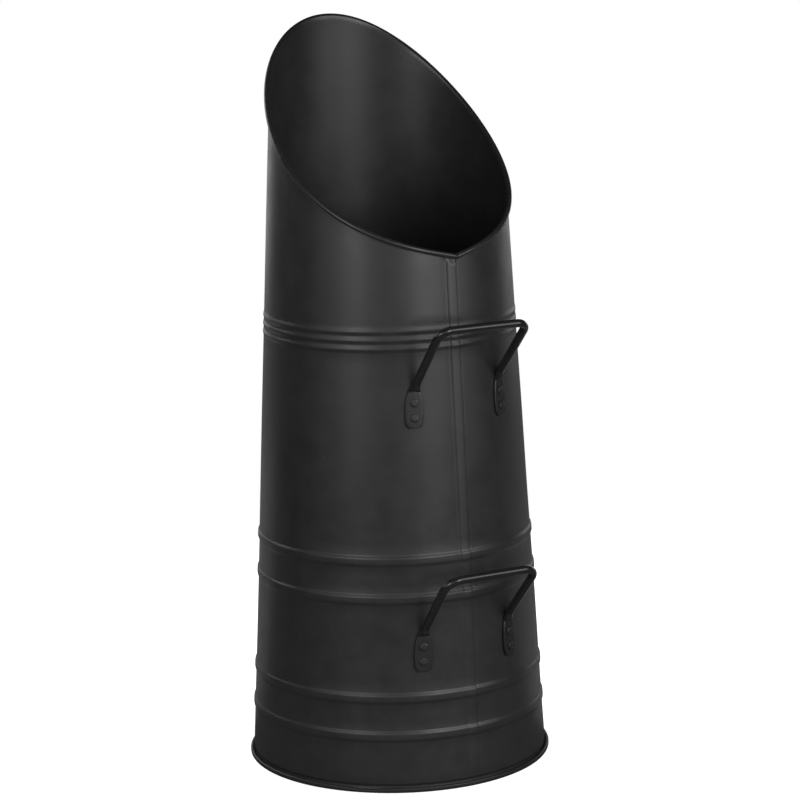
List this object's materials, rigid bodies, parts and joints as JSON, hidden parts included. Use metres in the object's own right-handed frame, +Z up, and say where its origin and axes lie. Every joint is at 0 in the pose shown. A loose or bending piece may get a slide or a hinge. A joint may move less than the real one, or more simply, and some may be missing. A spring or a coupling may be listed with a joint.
{
  "type": "log carrier",
  "caption": "Tall tapered sheet-steel log carrier with a sloping open mouth, raised beads, a folded base and rod handles riveted across its seam, for carrying and tipping fuel.",
  "frame": {"origin": "centre of the base's flat underside, on the floor", "axes": "+Z up along the body's axis, -Y towards the seam and the handles, +Y towards the mouth's high lip, +X to the right seen from the handles' side"},
  "size_m": [0.2354, 0.2646, 0.5713],
  "materials": {
    "black_sheet": "satin black powder coat on steel sheet",
    "black_rod": "satin black powder coat on steel rod, a little glossier",
    "black_rivet": "satin black powder coat on rivet heads",
    "plain_wire": "plain drawn steel, hidden in the mouth's roll"
  },
  "bodies": {
    "root": {"body_sheet": "black_sheet", "base_plate": "black_sheet", "rim_wire": "plain_wire", "handle_upper": "black_rod", "handle_lower": "black_rod", "rivet_upper_left_top": "black_rivet", "rivet_upper_left_bottom": "black_rivet", "rivet_upper_right_top": "black_rivet", "rivet_upper_right_bottom": "black_rivet", "rivet_lower_left_top": "black_rivet", "rivet_lower_left_bottom": "black_rivet", "rivet_lower_right_top": "black_rivet", "rivet_lower_right_bottom": "black_rivet"}
  },
  "joints": []
}
